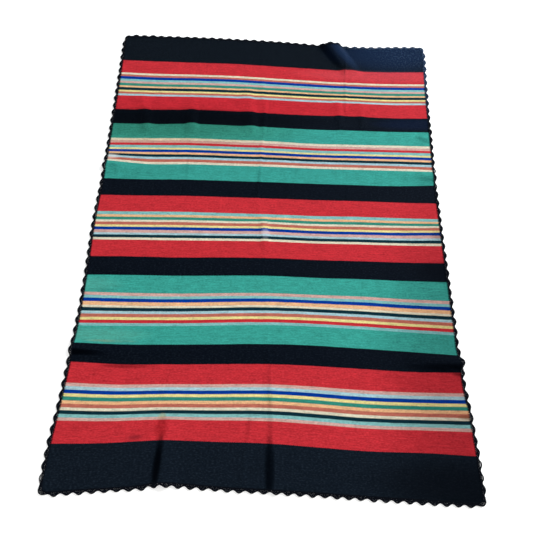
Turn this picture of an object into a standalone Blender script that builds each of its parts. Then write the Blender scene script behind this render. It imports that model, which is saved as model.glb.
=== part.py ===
"""A striped wool serape, spread out on a floor, with a crocheted loop edging all round.

Metres, +Z up. The origin is on the floor under the middle of the cloth. +Y runs along the
cloth's length, away from the near end, and +X runs along its stripes.

The woven panel is one thin wall. Its plan follows measured sections across the cloth, and
the folds that lift it off the floor are ridges that the wall runs over. The edging is one
round of loops on the real cloth. It is built here as four runs that meet between two loops,
just past each corner, and the runs of the two ends take the corners' loops.
"""

import math
from collections import namedtuple

import bpy
import numpy as np

# Driving sizes of the woven panel
PANEL_LENGTH = 1.630
CLOTH_THICKNESS = 0.0020
CORNER_ROUNDING = 0.020

# Driving sizes of the crocheted edging
SEAM_GAP = 0.0003
EDGING_THICKNESS = 0.0026
VALLEY_DEPTH = 0.0045
PEAK_DEPTH = 0.0125
LOOP_FULLNESS = 0.75

# The four runs in their order round the cloth, with the loops from one corner's middle to the
# next, and whether the run takes the loops at both of its corners
Run = namedtuple("Run", "name loops takes_corners")
RUNS = (
    Run("edging_near", 36, True),
    Run("edging_right", 50, False),
    Run("edging_far", 35, True),
    Run("edging_left", 50, False),
)

# Places sampled along one loop, as shares of its pitch, and the rim of the gap inside it
LOOP_POINTS = (0.18, 0.38, 0.62, 0.82)
Gap = namedtuple("Gap", "share depth")
LOOP_GAP = (
    Gap(0.19, 0.0044),
    Gap(0.30, 0.0078),
    Gap(0.50, 0.0092),
    Gap(0.70, 0.0078),
    Gap(0.81, 0.0044),
)

# Spacing of the panel's grid: wide where it lies flat, close where a fold crosses it
COARSE_STEP = 0.085
Zone = namedtuple("Zone", "low high step")
CLOSE_ACROSS = (
    Zone(-0.50, -0.42, 0.020),
    Zone(-0.33, -0.23, 0.016),
    Zone(-0.09, 0.06, 0.016),
    Zone(0.14, 0.38, 0.022),
)
CLOSE_ALONG = (
    Zone(-0.64, -0.56, 0.025),
    Zone(-0.49, -0.39, 0.014),
    Zone(0.18, 0.26, 0.014),
    Zone(0.32, 0.58, 0.045),
    Zone(0.64, 0.79, 0.026),
)

# One row for each section across the cloth: its place along the length, where the panel's two
# edges lie, and how far the weft has slipped along the length at five places across
SLIP_NAMES = ("slip_left", "slip_left_mid", "slip_middle", "slip_right_mid", "slip_right")
SLIP_PLACES = (-1.0, -0.5, 0.0, 0.5, 1.0)
Section = namedtuple("Section", ("along", "left", "right", *SLIP_NAMES))
SECTIONS = (
    Section(-0.815, -0.617, 0.619, -0.023, -0.001, -0.004, -0.017, -0.029),
    Section(-0.695, -0.609, 0.614, -0.008, 0.006, 0.005, -0.010, -0.016),
    Section(-0.600, -0.600, 0.607, -0.004, 0.003, 0.008, -0.005, -0.009),
    Section(-0.470, -0.591, 0.597, 0.000, 0.001, 0.008, 0.001, -0.004),
    Section(-0.410, -0.589, 0.593, -0.005, -0.003, 0.007, 0.001, -0.010),
    Section(-0.340, -0.585, 0.591, -0.012, -0.006, 0.006, 0.000, -0.009),
    Section(-0.180, -0.582, 0.587, -0.011, -0.005, 0.003, 0.000, -0.002),
    Section(0.000, -0.583, 0.583, -0.009, -0.003, 0.000, -0.001, 0.002),
    Section(0.200, -0.576, 0.581, -0.004, 0.000, 0.001, 0.001, 0.003),
    Section(0.410, -0.574, 0.584, -0.003, 0.003, 0.003, 0.001, 0.003),
    Section(0.600, -0.573, 0.587, 0.001, 0.003, 0.001, -0.005, -0.003),
    Section(0.700, -0.573, 0.591, 0.002, 0.003, -0.001, -0.008, -0.005),
    Section(0.815, -0.573, 0.594, 0.000, 0.002, -0.004, -0.018, -0.005),
)

# One row for each fold: the line of its crest, the height of the wall's underside at both
# ends of that line, how far it spreads to each side of the line, and how sharp its crest is
# (2 is a round ridge, 1 is a pressed crease)
Fold = namedtuple("Fold", "start end height_start height_end spread_left spread_right roundness")
FOLDS = {
    "far buckle": Fold((0.188, 0.862), (0.326, 0.655), 0.026, 0.003, 0.043, 0.054, 2.0),
    "near ridge": Fold((-0.296, -0.860), (-0.286, -0.560), 0.014, 0.002, 0.018, 0.062, 1.4),
    "near middle crease": Fold((0.018, -0.860), (0.012, -0.330), 0.007, 0.003, 0.018, 0.034, 1.2),
    "far middle crease": Fold((-0.040, 0.600), (-0.050, 0.320), 0.008, 0.007, 0.026, 0.034, 1.6),
    "far left pucker": Fold((-0.460, 0.530), (-0.462, 0.380), 0.005, 0.007, 0.030, 0.034, 2.0),
    "far left mid pucker": Fold((-0.292, 0.560), (-0.300, 0.350), 0.006, 0.009, 0.026, 0.038, 2.0),
    "near left tuck": Fold((-0.660, -0.430), (-0.440, -0.437), 0.013, 0.002, 0.032, 0.028, 1.8),
    "near right tuck": Fold((0.670, -0.456), (0.450, -0.436), 0.013, 0.002, 0.028, 0.032, 1.8),
    "left edge lift": Fold((-0.640, 0.222), (-0.480, 0.214), 0.013, 0.001, 0.032, 0.026, 2.0),
    "right edge lift": Fold((0.650, 0.214), (0.480, 0.226), 0.009, 0.001, 0.026, 0.030, 2.0),
    "right edge pucker": Fold((0.680, -0.604), (0.530, -0.588), 0.009, 0.001, 0.030, 0.030, 2.0),
}
END_FADE = 0.050

# The finishes of the two yarns
Finish = namedtuple("Finish", "name colour roughness")
WOVEN_WOOL = Finish("woven wool", (0.52, 0.03, 0.05, 1.0), 0.90)
CROCHET_YARN = Finish("crochet yarn", (0.010, 0.011, 0.018, 1.0), 0.85)


def curve_through(knots, values, at):
    """A smooth curve through the knots, read at the given places."""
    knots = np.asarray(knots, float)
    values = np.asarray(values, float)
    slopes = np.gradient(values, knots)
    piece = np.clip(np.searchsorted(knots, at) - 1, 0, len(knots) - 2)
    width = knots[piece + 1] - knots[piece]
    t = np.clip((at - knots[piece]) / width, 0.0, 1.0)
    rise = t * t * (3 - 2 * t)
    return (
        values[piece] * (1 - rise)
        + values[piece + 1] * rise
        + slopes[piece] * width * t * (1 - t) ** 2
        - slopes[piece + 1] * width * t * t * (1 - t)
    )


def section_value(column, along):
    """One column of the table of sections, read at places along the cloth."""
    knots = [s.along for s in SECTIONS]
    return curve_through(knots, [getattr(s, column) for s in SECTIONS], along)


def plan_of(across, along):
    """Where a point of the woven panel lies on the floor.

    across runs from -1 at the left edge to 1 at the right edge, and along is in metres.
    """
    left = section_value("left", along)
    right = section_value("right", along)
    slips = np.transpose([section_value(name, along) for name in SLIP_NAMES])
    slip = np.array([curve_through(SLIP_PLACES, row, place) for row, place in zip(slips, across)])
    return left + (right - left) * (across + 1) / 2, along + slip


def ridge(fold, x, y):
    """Height of one fold over the points of the floor."""
    start, end = np.array(fold.start), np.array(fold.end)
    length = np.linalg.norm(end - start)
    run = (end - start) / length
    forward = (x - start[0]) * run[0] + (y - start[1]) * run[1]
    leftward = (y - start[1]) * run[0] - (x - start[0]) * run[1]
    spread = np.where(leftward > 0, fold.spread_left, fold.spread_right)
    aside = np.clip(np.abs(leftward) / spread, 0, 1) ** fold.roundness
    past = np.clip(np.maximum(-forward, forward - length) / END_FADE, 0, 1)
    share = np.clip(forward / length, 0, 1)
    height = fold.height_start + (fold.height_end - fold.height_start) * share
    return height * (1 - aside) ** 2 * (1 - past**2) ** 2


def lift_of(x, y):
    """Height of the wall's underside over the floor, where the folds raise it."""
    return np.sum([ridge(fold, x, y) for fold in FOLDS.values()], axis=0)


def graded(half, zones):
    """Places from -half to half, a coarse step apart, or a close step inside a zone."""
    ends = [-half, -half + CORNER_ROUNDING, half - CORNER_ROUNDING, half]
    marks = sorted([*ends, *(z.low for z in zones), *(z.high for z in zones)])
    places = [marks[0]]
    for low, high in zip(marks, marks[1:]):
        middle = (low + high) / 2
        step = next((z.step for z in zones if z.low < middle < z.high), COARSE_STEP)
        count = max(1, round((high - low) / step))
        places += [low + (high - low) * k / count for k in range(1, count + 1)]
    return np.array(places)


def panel_grid():
    """The woven panel's underside as rows of points, an array of rows, columns and x, y, z.

    The tables' plan is moved last, so that the middle of its box lies at the origin.
    """
    half_width = (SECTIONS[0].right - SECTIONS[0].left) / 2
    columns = graded(half_width, CLOSE_ACROSS) / half_width
    rows = graded(PANEL_LENGTH / 2, CLOSE_ALONG)
    across, along = (m.ravel() for m in np.meshgrid(columns, rows))
    x, y = plan_of(across, along)
    grid = np.stack([x, y], axis=1).reshape(len(rows), len(columns), 2)
    cut_in = CORNER_ROUNDING * (1 - math.sqrt(0.5))
    for row, away_y in ((0, 1), (-1, -1)):
        for column, away_x in ((0, 1), (-1, -1)):
            grid[row, column] += (cut_in * away_x, cut_in * away_y)
    lift = lift_of(grid[..., 0], grid[..., 1])
    grid -= (grid.min(axis=(0, 1)) + grid.max(axis=(0, 1))) / 2
    return np.concatenate([grid, lift[..., None]], axis=2)


def wall_solid(name, under, triangles, thickness, finish):
    """A wall of even height over a sheet of triangles, as one closed object.

    under holds the points of the underside, and the triangles run counter-clockwise from above.
    """
    count = len(under)
    points = np.concatenate([under, under + (0, 0, thickness)])
    faces = [(a + count, b + count, c + count) for a, b, c in triangles]
    faces += [(c, b, a) for a, b, c in triangles]
    edges = [e for a, b, c in triangles for e in ((a, b), (b, c), (c, a))]
    inner = set(edges)
    for a, b in edges:
        if (b, a) not in inner:
            faces += [(a, b, b + count), (a, b + count, a + count)]
    mesh = bpy.data.meshes.new(name)
    mesh.from_pydata(points.tolist(), [], faces)
    mesh.validate()
    mesh.materials.append(material_of(finish))
    made = bpy.data.objects.new(name, mesh)
    bpy.context.scene.collection.objects.link(made)
    return made


def material_of(finish):
    """The Principled material of one yarn."""
    found = bpy.data.materials.get(finish.name)
    if found:
        return found
    made = bpy.data.materials.new(finish.name)
    made.use_nodes = True
    shader = made.node_tree.nodes["Principled BSDF"]
    shader.inputs["Base Color"].default_value = finish.colour
    shader.inputs["Roughness"].default_value = finish.roughness
    shader.inputs["Metallic"].default_value = 0.0
    made.diffuse_color = finish.colour
    return made


def build_panel(grid):
    """The woven panel, two triangles to each cell of its grid."""
    rows, columns = grid.shape[:2]
    triangles = []
    for r in range(rows - 1):
        for c in range(columns - 1):
            a = r * columns + c
            b, d, e = a + 1, a + columns, a + columns + 1
            triangles += [(a, b, e), (a, e, d)] if (r + c) % 2 else [(a, b, d), (b, e, d)]
    return wall_solid("woven_panel", grid.reshape(-1, 3), triangles, CLOTH_THICKNESS, WOVEN_WOOL)


class Border:
    """The panel's edge as a closed line, read by the distance gone round it."""

    def __init__(self, grid):
        rows, columns = grid.shape[:2]
        near, right = grid[0, :-1], grid[:-1, -1]
        far, left = grid[-1, :0:-1], grid[:0:-1, 0]
        self.line = np.concatenate([near, right, far, left])
        steps = np.linalg.norm((np.roll(self.line, -1, axis=0) - self.line)[:, :2], axis=1)
        self.gone = np.concatenate([[0], np.cumsum(steps)])
        self.round = self.gone[-1]
        turns = np.cumsum([0, columns - 1, rows - 1, columns - 1, rows - 1])
        self.corners = self.gone[turns]
        self.outward = self.normals()

    def normals(self):
        """The outward direction at each point of the line, square to its two neighbours."""
        chord = (np.roll(self.line, -1, axis=0) - np.roll(self.line, 1, axis=0))[:, :2]
        out = np.stack([chord[:, 1], -chord[:, 0]], axis=1)
        return out / np.linalg.norm(out, axis=1)[:, None]

    def at(self, gone, depth):
        """The point that lies depth outside the line, after going that far round it."""
        gone = gone % self.round
        piece = min(int(np.searchsorted(self.gone, gone, side="right")), len(self.line)) - 1
        after = (piece + 1) % len(self.line)
        share = (gone - self.gone[piece]) / (self.gone[piece + 1] - self.gone[piece])
        point = self.line[piece] * (1 - share) + self.line[after] * share
        out = self.outward[piece] * (1 - share) + self.outward[after] * share
        return point + np.append(out / np.linalg.norm(out) * depth, 0.0)

    def stops(self, low, high):
        """The distances of the line's own points strictly between two distances."""
        laps = np.concatenate([self.gone[:-1] + lap * self.round for lap in (-1, 0, 1)])
        return laps[(laps > low) & (laps < high)].tolist()

    def valleys(self):
        """For each run, the distances at which two loops meet, from its first to its last."""
        own = []
        for run, low, high in zip(RUNS, self.corners, self.corners[1:]):
            own.append(low + (high - low) * (np.arange(run.loops) + 0.5) / run.loops)
        before = [own[-1] - self.round, *own[:-1]]
        after = [*own[1:], own[0] + self.round]
        return [
            np.concatenate([prior[-1:], mine, later[:1]]) if run.takes_corners else mine
            for run, prior, mine, later in zip(RUNS, before, own, after)
        ]


def loop_outline(share):
    """How far out the loops' outer edge lies, at a share of one loop's pitch."""
    bulge = math.sin(math.pi * share) ** LOOP_FULLNESS
    return VALLEY_DEPTH + (PEAK_DEPTH - VALLEY_DEPTH) * bulge


def strip(outer, inner):
    """Triangles facing up that fill the strip between two lines of points in the same order."""
    outer, inner = list(outer), list(inner)
    triangles = []
    while len(outer) > 1 or len(inner) > 1:
        outer_next = len(inner) == 1 or (len(outer) > 1 and outer[1] <= inner[1])
        ahead = outer[1] if outer_next else inner[1]
        corners = (outer[0], ahead, inner[0])
        if len(set(corners)) == len(corners):
            triangles.append(corners)
        (outer if outer_next else inner).pop(0)
    return triangles


def build_edging(name, border, valleys):
    """One run of loops, each between two valleys, with a gap cut through each loop."""
    valleys = valleys.tolist()
    valleys[0] += SEAM_GAP / 2
    valleys[-1] -= SEAM_GAP / 2
    triangles = []
    for start, end in zip(valleys, valleys[1:]):
        pitch = end - start
        feet = (start, VALLEY_DEPTH), (end, VALLEY_DEPTH)
        crest = [(start + pitch * share, loop_outline(share)) for share in LOOP_POINTS]
        gap = [(start + pitch * point.share, point.depth) for point in LOOP_GAP]
        root = [(gone, SEAM_GAP) for gone in (start, *border.stops(start, end), end)]
        triangles += strip((feet[0], *crest, feet[1]), (feet[0], *gap, feet[1]))
        triangles += strip((feet[0], gap[0], gap[-1], feet[1]), root)
    points = list(dict.fromkeys(point for corners in triangles for point in corners))
    number = {point: k for k, point in enumerate(points)}
    under = np.array([border.at(*point) for point in points])
    faces = [tuple(number[point] for point in corners) for corners in triangles]
    return wall_solid(name, under, faces, EDGING_THICKNESS, CROCHET_YARN)


def build_serape():
    """The whole serape, in an empty scene."""
    for old in list(bpy.data.objects):
        bpy.data.objects.remove(old)
    grid = panel_grid()
    build_panel(grid)
    border = Border(grid)
    for run, valleys in zip(RUNS, border.valleys()):
        build_edging(run.name, border, valleys)


build_serape()
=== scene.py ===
"""The looks of a striped wool serape that lies spread out on a floor.

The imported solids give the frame. The woven panel and the four runs of crocheted edging each
get a finer piece on the same form: a thin shell with the cloth's folds and pressed creases,
and real yarn stitches and chain loops round it. Metres, +Z up, +Y away from the viewer.
"""

import logging
import math
from dataclasses import dataclass, field
from enum import Enum
from typing import Callable, NamedTuple, Optional, Sequence, Union

import bpy
import numpy as np
from mathutils import Matrix, Vector


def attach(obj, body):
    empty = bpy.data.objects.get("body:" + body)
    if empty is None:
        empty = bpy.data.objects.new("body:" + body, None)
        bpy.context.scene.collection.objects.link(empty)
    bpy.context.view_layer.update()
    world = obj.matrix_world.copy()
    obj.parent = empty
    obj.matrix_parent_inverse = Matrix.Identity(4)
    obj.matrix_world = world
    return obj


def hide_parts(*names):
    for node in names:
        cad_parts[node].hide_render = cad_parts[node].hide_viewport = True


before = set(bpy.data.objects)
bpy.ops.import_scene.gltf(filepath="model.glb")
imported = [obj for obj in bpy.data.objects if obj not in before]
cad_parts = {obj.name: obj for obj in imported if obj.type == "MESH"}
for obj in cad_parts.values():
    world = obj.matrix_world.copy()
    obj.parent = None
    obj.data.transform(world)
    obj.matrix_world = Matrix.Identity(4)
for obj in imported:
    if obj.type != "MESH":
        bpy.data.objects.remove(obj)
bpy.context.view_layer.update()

log = logging.getLogger("serape")

Colour = tuple[float, float, float, float]


# Tables of the cloth's form


class Section(NamedTuple):
    """One section across the cloth: its two edges, and how far the weft slips along there."""

    along: float
    left: float
    right: float
    slip_left: float
    slip_left_mid: float
    slip_middle: float
    slip_right_mid: float
    slip_right: float


class Fold(NamedTuple):
    """One ridge: its crest's line, its heights, its spread to each side, and its roundness."""

    start: tuple[float, float]
    end: tuple[float, float]
    height_start: float
    height_end: float
    spread_left: float
    spread_right: float
    roundness: float


class Swell(NamedTuple):
    """One broad, low rise of the cloth: its middle, its two radii and its height."""

    x: float
    y: float
    radius_x: float
    radius_y: float
    height: float


class Zone(NamedTuple):
    """A stretch of the cloth where the mesh is closer: its two ends and its step."""

    low: float
    high: float
    step: float


class Pull(NamedTuple):
    """One place where the near edge is drawn in: its place across, two spreads, depth and reach."""

    across: float
    spread_left: float
    spread_right: float
    depth: float
    reach: float


SLIP_PLACES = (-1.0, -0.5, 0.0, 0.5, 1.0)
SECTIONS = (
    Section(-0.815, -0.617, 0.619, -0.023, -0.001, -0.004, -0.017, -0.029),
    Section(-0.695, -0.609, 0.614, -0.008, 0.006, 0.005, -0.01, -0.016),
    Section(-0.6, -0.6, 0.607, -0.004, 0.003, 0.008, -0.005, -0.009),
    Section(-0.47, -0.591, 0.597, 0.0, 0.001, 0.008, 0.001, -0.004),
    Section(-0.44, -0.59, 0.6, -0.0025, -0.001, 0.0075, 0.001, -0.007),
    Section(-0.41, -0.589, 0.593, -0.005, -0.003, 0.007, 0.001, -0.01),
    Section(-0.34, -0.585, 0.591, -0.012, -0.006, 0.006, 0.0, -0.009),
    Section(-0.18, -0.582, 0.587, -0.011, -0.005, 0.003, 0.0, -0.002),
    Section(0.0, -0.583, 0.583, -0.009, -0.003, 0.0, -0.001, 0.002),
    Section(0.2, -0.576, 0.581, -0.004, 0.0, 0.001, 0.001, 0.003),
    Section(0.41, -0.574, 0.584, -0.003, 0.003, 0.003, 0.001, 0.003),
    Section(0.6, -0.573, 0.587, 0.001, 0.003, 0.001, -0.005, -0.003),
    Section(0.7, -0.573, 0.591, 0.002, 0.003, -0.001, -0.008, -0.005),
    Section(0.815, -0.573, 0.594, 0.0, 0.002, -0.004, -0.018, -0.005),
)

# The larger folds, close to the solid's own
FOLDS = {
    "far buckle": Fold((0.2, 0.862), (0.326, 0.655), 0.029, 0.003, 0.042, 0.05, 2.4),
    "near ridge": Fold((-0.292, -0.86), (-0.284, -0.58), 0.012, 0.0015, 0.026, 0.062, 1.6),
    "near middle crease": Fold((0.024, -0.86), (0.018, -0.56), 0.004, 0.0012, 0.018, 0.04, 2.0),
    "far middle crease": Fold((-0.086, 0.56), (-0.066, 0.4), 0.003, 0.006, 0.026, 0.044, 2.0),
    "far left pucker": Fold((-0.476, 0.5), (-0.446, 0.4), 0.004, 0.0055, 0.03, 0.034, 2.0),
    "far left mid pucker": Fold((-0.29, 0.48), (-0.284, 0.405), 0.0035, 0.0085, 0.026, 0.038, 2.0),
    "near left tuck": Fold((-0.66, -0.43), (-0.44, -0.437), 0.013, 0.002, 0.032, 0.028, 1.8),
    "near right tuck": Fold((0.67, -0.456), (0.45, -0.436), 0.013, 0.002, 0.028, 0.032, 1.8),
    "left edge lift": Fold((-0.64, 0.222), (-0.48, 0.214), 0.013, 0.001, 0.032, 0.026, 2.0),
    "right edge lift": Fold((0.65, 0.214), (0.48, 0.226), 0.009, 0.001, 0.026, 0.03, 2.0),
    "right edge pucker": Fold((0.68, -0.604), (0.53, -0.588), 0.009, 0.001, 0.03, 0.03, 2.0),
}

# Thin creases that storage pressed into the cloth, small wrinkles and puckers
CREASES = {
    "middle, far end": Fold((-0.036, 0.8), (-0.03, 0.52), 0.0005, 0.0009, 0.014, 0.016, 1.5),
    "middle, far half": Fold((-0.02, 0.5), (-0.04, 0.13), 0.0026, 0.0016, 0.012, 0.018, 1.5),
    "middle": Fold((-0.04, 0.13), (-0.006, -0.16), 0.001, 0.0004, 0.011, 0.016, 1.4),
    "middle pucker": Fold((-0.014, 0.006), (-0.01, -0.052), 0.0046, 0.004, 0.022, 0.022, 2.0),
    "middle, near half": Fold((-0.006, -0.16), (0.012, -0.56), 0.0004, 0.0018, 0.012, 0.018, 1.5),
    "middle, second line": Fold((-0.03, -0.52), (-0.06, -0.79), 0.001, 0.0024, 0.01, 0.018, 1.4),
    "left quarter": Fold((-0.296, 0.64), (-0.3, 0.04), 0.0007, 0.0004, 0.012, 0.016, 1.5),
    "left quarter, near": Fold((-0.285, 0.02), (-0.29, -0.56), 0.0004, 0.0009, 0.012, 0.016, 1.5),
    "right quarter, far": Fold((0.285, 0.73), (0.284, 0.56), 0.0022, 0.001, 0.008, 0.03, 1.5),
    "right quarter": Fold((0.28, 0.56), (0.268, 0.08), 0.0007, 0.0004, 0.012, 0.016, 1.5),
    "right quarter, near": Fold((0.29, -0.42), (0.312, -0.78), 0.0004, 0.0009, 0.012, 0.018, 1.5),
    "right mid pucker": Fold((0.25, 0.51), (0.256, 0.44), 0.0032, 0.0036, 0.022, 0.026, 2.0),
    "far right pucker": Fold((0.332, 0.5), (0.338, 0.44), 0.003, 0.0032, 0.026, 0.024, 2.0),
    "left tuck's wrinkle": Fold((-0.59, -0.462), (-0.5, -0.452), 0.004, 0.0006, 0.01, 0.012, 1.5),
    "right tuck's wrinkle": Fold((0.6, -0.48), (0.52, -0.462), 0.004, 0.0006, 0.01, 0.012, 1.5),
    "right edge's wrinkle": Fold((0.59, -0.64), (0.545, -0.6), 0.003, 0.0008, 0.01, 0.01, 1.6),
}

# How far the stripes run off their straight course, in millimetres, for places along the cloth
# and nine places across it
DRIFT_PLACES = (-1.0, -0.75, -0.5, -0.25, 0.0, 0.25, 0.5, 0.75, 1.0)
DRIFTS = {
    -0.7002: (5.2, 1.7, 5.9, 4.5, 5.8, 4.9, 5.4, 7.5, 4.3),
    -0.6399: (0.4, -4.0, -0.2, -1.6, 0.0, -0.0, -0.5, 1.0, 1.1),
    -0.5330: (-1.9, -5.5, -2.6, -2.8, -1.4, -0.9, -2.6, -3.2, -1.1),
    -0.4727: (2.3, -2.4, 0.1, 0.6, 1.4, 2.1, 1.2, -1.4, 2.4),
    -0.4101: (5.2, 3.2, 5.4, 4.5, 4.6, 5.5, 4.1, 3.1, 1.6),
    -0.3475: (-1.0, -0.6, 0.0, -0.8, -0.7, 0.2, -0.2, -1.9, -2.2),
    -0.2406: (4.6, 1.5, 0.3, 0.3, 0.4, 0.2, 1.9, -0.4, -0.4),
    -0.1780: (-0.7, -0.4, -1.6, -0.9, -0.6, -2.3, 0.1, -0.9, 0.1),
    -0.1154: (4.1, 4.2, 2.2, 3.6, 3.4, 2.1, 3.9, 3.9, 4.9),
    -0.0551: (0.1, -0.1, -0.4, 0.2, 1.0, -0.2, 2.0, 1.6, 3.0),
    0.0: (-2.0, -1.6, -1.3, -1.7, 0.4, -2.0, -0.1, 0.3, 4.2),
    0.0517: (-3.1, -3.2, -2.2, -3.6, -3.8, -3.9, -2.2, -3.7, -4.6),
    0.1120: (-2.1, -2.1, -0.7, -1.4, -1.9, -2.3, -1.5, -3.1, -2.9),
    0.1746: (2.4, 1.0, 3.2, 2.7, 2.5, 2.1, 2.2, 2.3, 8.5),
    0.2372: (9.5, -2.9, -0.2, -0.5, -0.4, -1.6, -0.9, -0.7, -2.7),
    0.2900: (-2.0, -1.6, 0.4, -0.5, -0.5, -3.0, -1.6, -0.6, -0.5),
    0.3441: (-2.8, -1.8, 0.9, -0.4, -0.5, -4.3, -2.2, -1.0, -0.3),
    0.4068: (2.6, 1.0, 5.2, 3.2, 1.7, -0.5, 1.8, 1.5, 3.9),
    0.4693: (-0.9, -2.2, 0.6, 0.1, -2.5, -1.6, 2.2, -1.7, 2.3),
    0.5296: (-0.9, -1.7, 0.3, 1.2, 0.1, -0.4, 2.4, 0.0, 5.0),
    0.6365: (-0.9, -4.2, -1.4, -0.2, -3.2, -4.6, -5.5, -4.5, -0.9),
    0.6968: (1.9, -1.4, 0.9, 2.9, 0.5, -0.2, -2.1, -1.8, 2.9),
}

PULLS = (Pull(-0.484, 0.06, 0.2, 0.0085, 0.17),)

SWELLS = (
    Swell(-0.2, 0.47, 0.42, 0.07, 0.003),
    Swell(0.42, 0.5, 0.16, 0.06, 0.0016),
    Swell(0.05, -0.43, 0.4, 0.08, 0.0018),
    Swell(-0.45, -0.64, 0.14, 0.12, 0.002),
    Swell(0.18, -0.7, 0.14, 0.1, 0.0022),
    Swell(0.45, -0.72, 0.12, 0.09, 0.0016),
    Swell(-0.15, 0.02, 0.3, 0.11, 0.0016),
    Swell(0.36, 0.06, 0.2, 0.09, 0.0018),
    Swell(-0.42, 0.68, 0.14, 0.08, 0.002),
    Swell(0.46, 0.76, 0.12, 0.06, 0.0024),
)

CLOSE_ACROSS = (
    Zone(-0.32, -0.27, 0.003),
    Zone(-0.08, 0.05, 0.0034),
    Zone(0.18, 0.255, 0.0046),
    Zone(0.255, 0.325, 0.0034),
)
CLOSE_ALONG = (
    Zone(-0.49, -0.4, 0.005),
    Zone(0.18, 0.26, 0.0055),
    Zone(0.66, 0.79, 0.006),
)


# Yarns and stripes


def from_screen(red: int, green: int, blue: int) -> Colour:
    """A colour given as it shows on a screen, 0 to 255, as light.

    Args:
        red: The red part.
        green: The green part.
        blue: The blue part.

    Returns:
        The colour as linear light, with an alpha of 1.
    """
    shares = [part / 255 for part in (red, green, blue)]
    light = [s / 12.92 if s <= 0.04045 else ((s + 0.055) / 1.055) ** 2.4 for s in shares]
    return (*light, 1.0)


class Yarn(Enum):
    """The dyed wools of the weft, as the photograph's soft light shows them."""

    BLACK = from_screen(8, 12, 19)
    NIGHT = from_screen(11, 16, 21)
    INK = from_screen(17, 24, 32)
    RED = from_screen(205, 48, 55)
    GREEN = from_screen(60, 164, 149)
    CREAM = from_screen(232, 223, 195)
    TERRACOTTA = from_screen(197, 110, 91)
    ROYAL = from_screen(0, 55, 151)
    AQUA = from_screen(134, 194, 191)
    PINK = from_screen(218, 171, 160)
    LEAF = from_screen(51, 141, 122)
    APRICOT = from_screen(244, 188, 137)
    TEAL = from_screen(12, 45, 54)
    YELLOW = from_screen(241, 224, 147)
    ICE = from_screen(172, 209, 215)


class StripeGroup(NamedTuple):
    """One group of narrow stripes, from its far side: their yarns, and widths in millimetres."""

    yarns: tuple[Yarn, ...]
    widths: tuple[float, ...]


Y = Yarn

# The five groups from the far end to the near one
NARROW_GROUPS = (
    StripeGroup(
        (
            Y.CREAM, Y.TERRACOTTA, Y.ROYAL, Y.AQUA, Y.PINK, Y.LEAF,
            Y.APRICOT, Y.TEAL, Y.YELLOW, Y.TERRACOTTA, Y.ICE,
        ),
        (8.3, 8.4, 12.4, 9.6, 9.6, 12.0, 7.8, 13.0, 8.0, 9.2, 8.6),
    ),
    StripeGroup(
        (
            Y.CREAM, Y.PINK, Y.RED, Y.AQUA, Y.YELLOW, Y.ROYAL,
            Y.APRICOT, Y.TEAL, Y.ICE, Y.TERRACOTTA, Y.CREAM,
        ),
        (9.0, 9.9, 10.1, 10.7, 7.8, 11.2, 8.3, 10.6, 8.5, 11.2, 9.6),
    ),
    StripeGroup(
        (
            Y.AQUA, Y.APRICOT, Y.LEAF, Y.CREAM, Y.TERRACOTTA, Y.YELLOW,
            Y.ROYAL, Y.PINK, Y.ICE, Y.TEAL, Y.CREAM,
        ),
        (11.5, 8.6, 10.9, 7.9, 11.4, 8.1, 11.2, 10.4, 7.3, 11.0, 8.6),
    ),
    StripeGroup(
        (
            Y.PINK, Y.AQUA, Y.ROYAL, Y.APRICOT, Y.CREAM, Y.TEAL,
            Y.ICE, Y.TERRACOTTA, Y.YELLOW, Y.RED, Y.AQUA,
        ),
        (9.3, 9.3, 10.7, 11.4, 6.9, 10.7, 8.5, 10.7, 8.8, 10.9, 9.7),
    ),
    StripeGroup(
        (
            Y.PINK, Y.ICE, Y.ROYAL, Y.YELLOW, Y.LEAF, Y.APRICOT,
            Y.TERRACOTTA, Y.CREAM, Y.TEAL, Y.AQUA, Y.PINK,
        ),
        (9.0, 9.2, 10.6, 8.6, 10.8, 9.3, 10.7, 8.5, 10.8, 10.0, 9.4),
    ),
)


# Shader nodes


class Way(Enum):
    """How a colour is laid on another: over it, or as a shade that darkens it."""

    COVER = "MIX"
    SHADE = "MULTIPLY"


def operator_pair(operation: str) -> tuple[Callable, Callable]:
    """An operator of a shader value, and its form with the terms the other way round.

    Args:
        operation: What the operator's Math node does.

    Returns:
        The two methods.
    """

    def plain(self: "Value", other: "Input") -> "Value":
        """The operation on self, then other."""
        return self.math(operation, self, other)

    def swapped(self: "Value", other: "Input") -> "Value":
        """The operation on other, then self."""
        return self.math(operation, other, self)

    return plain, swapped


class Value:
    """A shader socket's number, which Python expressions can work on."""

    def __init__(self, bench: "Bench", socket: bpy.types.NodeSocket) -> None:
        """Keeps the socket and the bench that its nodes are made on."""
        self.bench = bench
        self.socket = socket

    def math(self, operation: str, *terms: "Input") -> "Value":
        """The result of one Math node on the given terms, in their order."""
        return self.bench.node("ShaderNodeMath", {"operation": operation}, dict(enumerate(terms)))

    # Each operator with the form that takes its terms the other way round
    __add__, __radd__ = operator_pair("ADD")
    __sub__, __rsub__ = operator_pair("SUBTRACT")
    __mul__, __rmul__ = operator_pair("MULTIPLY")
    __truediv__, __rtruediv__ = operator_pair("DIVIDE")
    __gt__, __lt__ = operator_pair("GREATER_THAN")

    def fraction(self) -> "Value":
        """The part after the decimal point."""
        return self.math("FRACT", self)

    def sine(self) -> "Value":
        """The sine, of radians."""
        return self.math("SINE", self)

    def angle_from(self, other: "Input") -> "Value":
        """The angle whose tangent is self over other, in radians."""
        return self.math("ARCTAN2", self, other)

    def eased(self, low: float, high: float) -> "Value":
        """0 at low and 1 at high, with a smooth rise between them."""
        inputs = {"Value": self, "From Min": low, "From Max": high}
        return self.bench.node("ShaderNodeMapRange", {"interpolation_type": "SMOOTHSTEP"}, inputs)


Input = Union[Value, float, Sequence[float]]


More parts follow.
